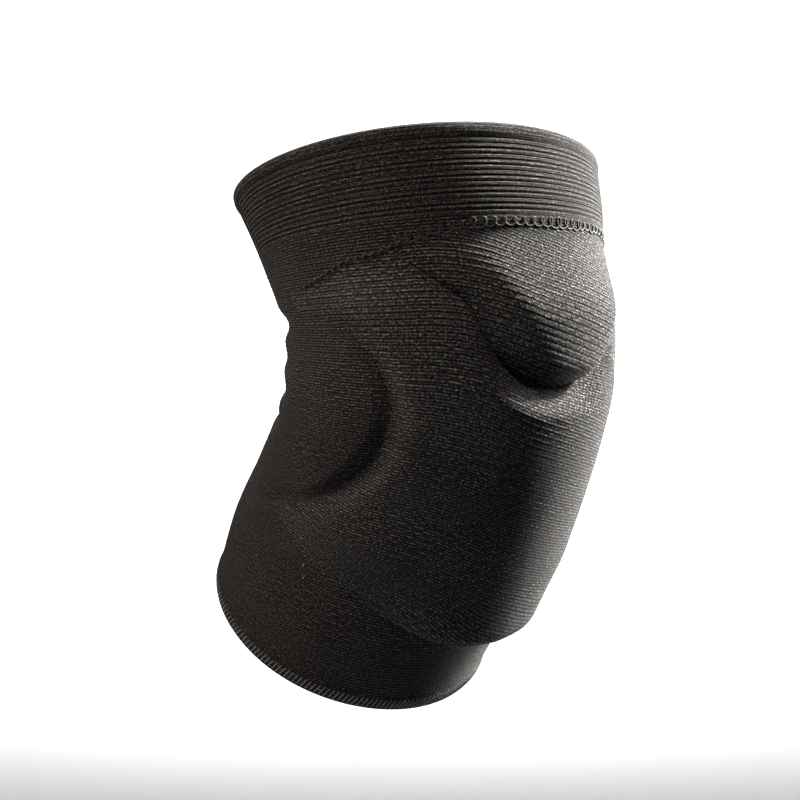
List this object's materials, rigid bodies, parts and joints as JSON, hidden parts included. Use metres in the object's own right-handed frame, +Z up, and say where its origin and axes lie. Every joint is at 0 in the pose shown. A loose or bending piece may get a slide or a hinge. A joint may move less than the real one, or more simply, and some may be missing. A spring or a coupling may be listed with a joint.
{
  "type": "volleyball knee pad",
  "caption": "Slip-on knit knee pad in its worn, bent form: ribbed thigh cuff, foam thigh lobe and winged knee pad on a hollow stretch sleeve with an overlocked shin hem.",
  "frame": {"origin": "middle of the knee that the pad is worn on, on the line down the leg", "axes": "+Z up from shin to thigh, -Y out of the front of the knee, +X to the wearer's side that the camera does not see"},
  "size_m": [0.153, 0.1821, 0.2346],
  "materials": {
    "cuff_knit": "matt black ribbed elastic knit",
    "plain_knit": "matt black plain stretch knit",
    "pad_cover": "matt black padded knit with fine cross rows",
    "hem_thread": "black knit edge bound with dark grey thread"
  },
  "bodies": {
    "root": {"top_hem": "cuff_knit", "upper_cuff": "cuff_knit", "sleeve": "plain_knit", "thigh_pad": "pad_cover", "knee_pad": "pad_cover", "bottom_hem": "hem_thread"}
  },
  "joints": []
}
